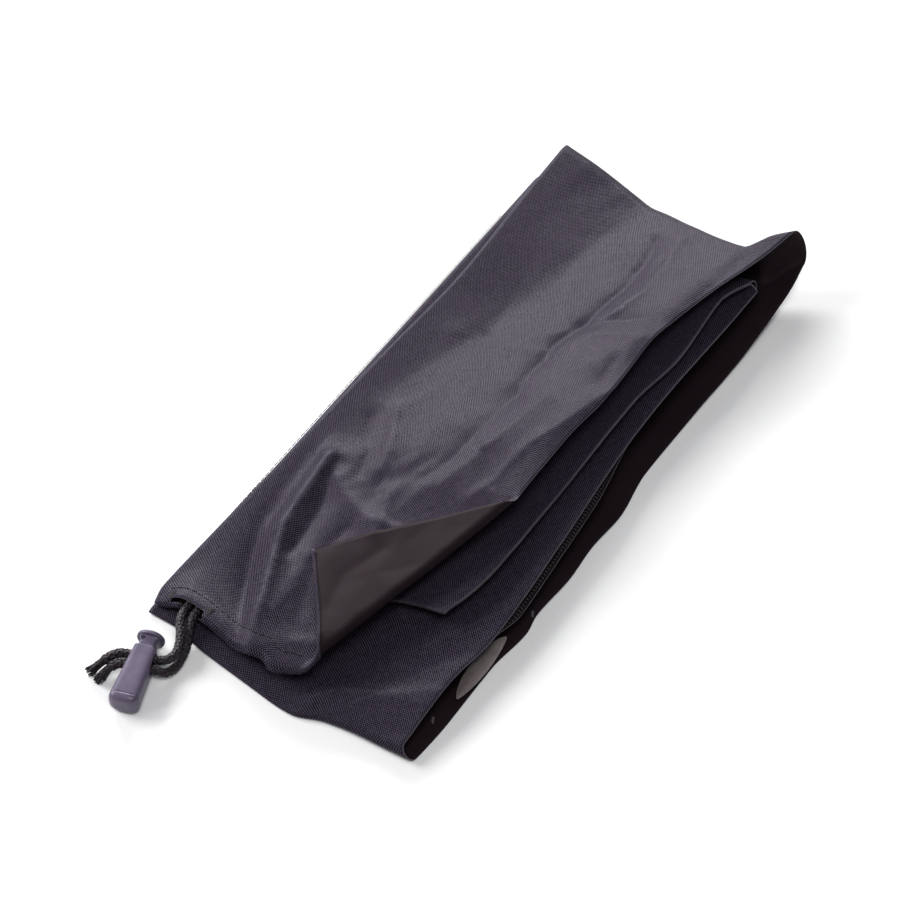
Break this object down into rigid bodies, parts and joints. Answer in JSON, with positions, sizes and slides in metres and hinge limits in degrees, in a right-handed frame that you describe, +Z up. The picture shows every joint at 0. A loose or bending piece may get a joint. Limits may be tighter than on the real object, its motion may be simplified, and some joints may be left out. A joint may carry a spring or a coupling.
{
  "type": "drawstring carry bag",
  "caption": "Long coated-cloth drawstring bag folded flat in four, its mouth corner turned over, with a spring cord lock on the two cord ends.",
  "frame": {"origin": "on the table under the middle of the folded bag's bounding box, cord and lock left out", "axes": "+X along the folded bag from its mouth and cord end to its far fold, +Y from the open fanned long side to the pressed long edge, +Z up"},
  "size_m": [0.315, 0.1179, 0.0253],
  "materials": {
    "cloth": "black coated oxford weave",
    "thread": "black polyester thread",
    "tape": "grey-brown ribbed tape",
    "cord": "black braided cord",
    "lock_plastic": "dark grey moulded plastic",
    "spring_steel": "spring wire"
  },
  "bodies": {
    "bag": {"outer_panel": "cloth", "inner_panel": "cloth", "mouth_hem_stitch": "thread", "closed_end_seam": "thread", "inner_panel_overlock": "thread", "pressed_edge_seam": "thread", "slit_bartack_left": "thread", "slit_bartack_right": "thread", "edge_bartack_near": "thread", "edge_bartack_far": "thread", "side_seam_tab": "tape", "drawstring_end_left": "cord", "drawstring_end_right": "cord", "drawstring_in_hem": "cord"},
    "cord_lock": {"cord_lock_barrel": "lock_plastic", "cord_lock_spring": "spring_steel"},
    "cord_lock_button": {"cord_lock_plunger": "lock_plastic"}
  },
  "joints": [
    {"name": "cord_lock_slide", "type": "slide", "parent": "bag", "child": "cord_lock", "axis": [-0.297, 0.9549, 0], "range_m": [-0.001, 0.0012]},
    {"name": "button_press", "type": "slide", "parent": "cord_lock", "child": "cord_lock_button", "axis": [-0.9549, -0.297, 0], "range_m": [0, 0.003], "stiffness_N_per_m": 400, "springref_m": -0.002, "deforming": ["cord_lock_spring"]}
  ]
}
